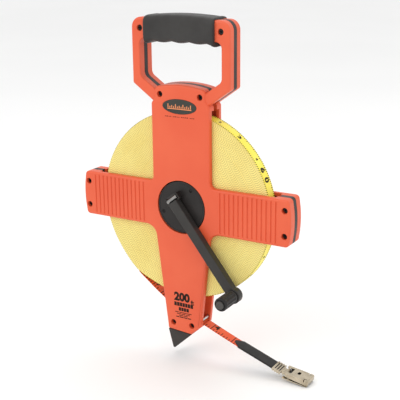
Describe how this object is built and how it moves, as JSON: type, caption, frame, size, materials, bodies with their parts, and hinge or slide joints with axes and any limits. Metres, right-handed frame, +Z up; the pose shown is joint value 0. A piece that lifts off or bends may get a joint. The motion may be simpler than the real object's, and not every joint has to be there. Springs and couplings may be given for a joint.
{
  "type": "surveyor tape reel",
  "caption": "Open-frame hand-cranked reel holding a long fibreglass measuring blade, with a ring handle, folding crank, ground spike and hooked blade end.",
  "frame": {"origin": "the middle of the hand grip that the reel is held by, on the mid-plane between the frame halves", "axes": "+Z up along the legs towards the handle, +X towards the blade's free end, +Y from the crank side to the rear; the spool turns about a line along Y, 173 mm below the origin"},
  "size_m": [0.2566, 0.0643, 0.3518],
  "materials": {
    "front_frame_half": "orange moulded ABS, satin",
    "rear_frame_half": "orange moulded ABS, satin",
    "handle_seam_strip": "black soft rubber, matte",
    "left_arm_seam_strip": "black soft rubber, matte",
    "right_arm_seam_strip": "black soft rubber, matte",
    "hand_grip": "black soft rubber, matte",
    "ground_spike": "black moulded nylon, satin",
    "badge_plate": "dark printed badge",
    "blade_guide_pin": "bright steel",
    "rear_bush": "black moulded nylon, satin",
    "blade_run": "orange coated fibreglass blade, printed",
    "blade_free_end": "orange coated fibreglass blade, printed",
    "end_sleeve": "black vinyl sleeve",
    "end_ferrule": "nickel plated pressed steel",
    "hook_pin": "bright steel",
    "screw_ring_left": "black oxide steel",
    "screw_ring_right": "black oxide steel",
    "screw_head_left": "black oxide steel",
    "screw_head_right": "black oxide steel",
    "screw_left_arm_upper": "black oxide steel",
    "screw_left_arm_lower": "black oxide steel",
    "screw_right_arm_upper": "black oxide steel",
    "screw_right_arm_lower": "black oxide steel",
    "screw_foot_left": "black oxide steel",
    "screw_foot_right": "black oxide steel",
    "hub_drum": "black moulded nylon, satin",
    "blade_roll": "yellow coated fibreglass blade, wound",
    "blade_anchor_pin": "bright steel",
    "drive_disc": "black moulded nylon, satin",
    "disc_screw_1": "black oxide steel",
    "disc_screw_2": "black oxide steel",
    "disc_screw_3": "black oxide steel",
    "rear_hub_cap": "black moulded nylon, satin",
    "rear_cap_screw": "black oxide steel",
    "crank_hinge_pin": "bright steel",
    "crank_arm": "black moulded nylon, satin",
    "knob_spindle": "bright steel",
    "crank_knob": "black soft rubber, matte",
    "hook_plate": "nickel plated pressed steel"
  },
  "bodies": {
    "frame": {"front_frame_half": "front_frame_half", "rear_frame_half": "rear_frame_half", "handle_seam_strip": "handle_seam_strip", "left_arm_seam_strip": "left_arm_seam_strip", "right_arm_seam_strip": "right_arm_seam_strip", "hand_grip": "hand_grip", "ground_spike": "ground_spike", "badge_plate": "badge_plate", "blade_guide_pin": "blade_guide_pin", "rear_bush": "rear_bush", "blade_run": "blade_run", "blade_free_end": "blade_free_end", "end_sleeve": "end_sleeve", "end_ferrule": "end_ferrule", "hook_pin": "hook_pin", "screw_ring_left": "screw_ring_left", "screw_ring_right": "screw_ring_right", "screw_head_left": "screw_head_left", "screw_head_right": "screw_head_right", "screw_left_arm_upper": "screw_left_arm_upper", "screw_left_arm_lower": "screw_left_arm_lower", "screw_right_arm_upper": "screw_right_arm_upper", "screw_right_arm_lower": "screw_right_arm_lower", "screw_foot_left": "screw_foot_left", "screw_foot_right": "screw_foot_right"},
    "spool": {"hub_drum": "hub_drum", "blade_roll": "blade_roll", "blade_anchor_pin": "blade_anchor_pin", "drive_disc": "drive_disc", "disc_screw_1": "disc_screw_1", "disc_screw_2": "disc_screw_2", "disc_screw_3": "disc_screw_3", "rear_hub_cap": "rear_hub_cap", "rear_cap_screw": "rear_cap_screw", "crank_hinge_pin": "crank_hinge_pin"},
    "crank": {"crank_arm": "crank_arm", "knob_spindle": "knob_spindle"},
    "knob": {"crank_knob": "crank_knob"},
    "hook": {"hook_plate": "hook_plate"}
  },
  "joints": [
    {"name": "spool_spin", "type": "hinge", "parent": "frame", "child": "spool", "pos_m": [0, 0, -0.173], "axis": [0, 1, 0], "continuous": true},
    {"name": "crank_fold", "type": "hinge", "parent": "spool", "child": "crank", "pos_m": [-0.00677, -0.0173, -0.16433], "axis": [-0.788, 0, -0.6157], "range_deg": [0, 180]},
    {"name": "knob_spin", "type": "hinge", "parent": "crank", "child": "knob", "pos_m": [0.06194, -0.0214, -0.25227], "axis": [0, 1, 0], "continuous": true},
    {"name": "hook_swing", "type": "hinge", "parent": "frame", "child": "hook", "pos_m": [0.1123, 0, -0.3303], "axis": [0, 1, 0], "range_deg": [-40, 32]}
  ]
}
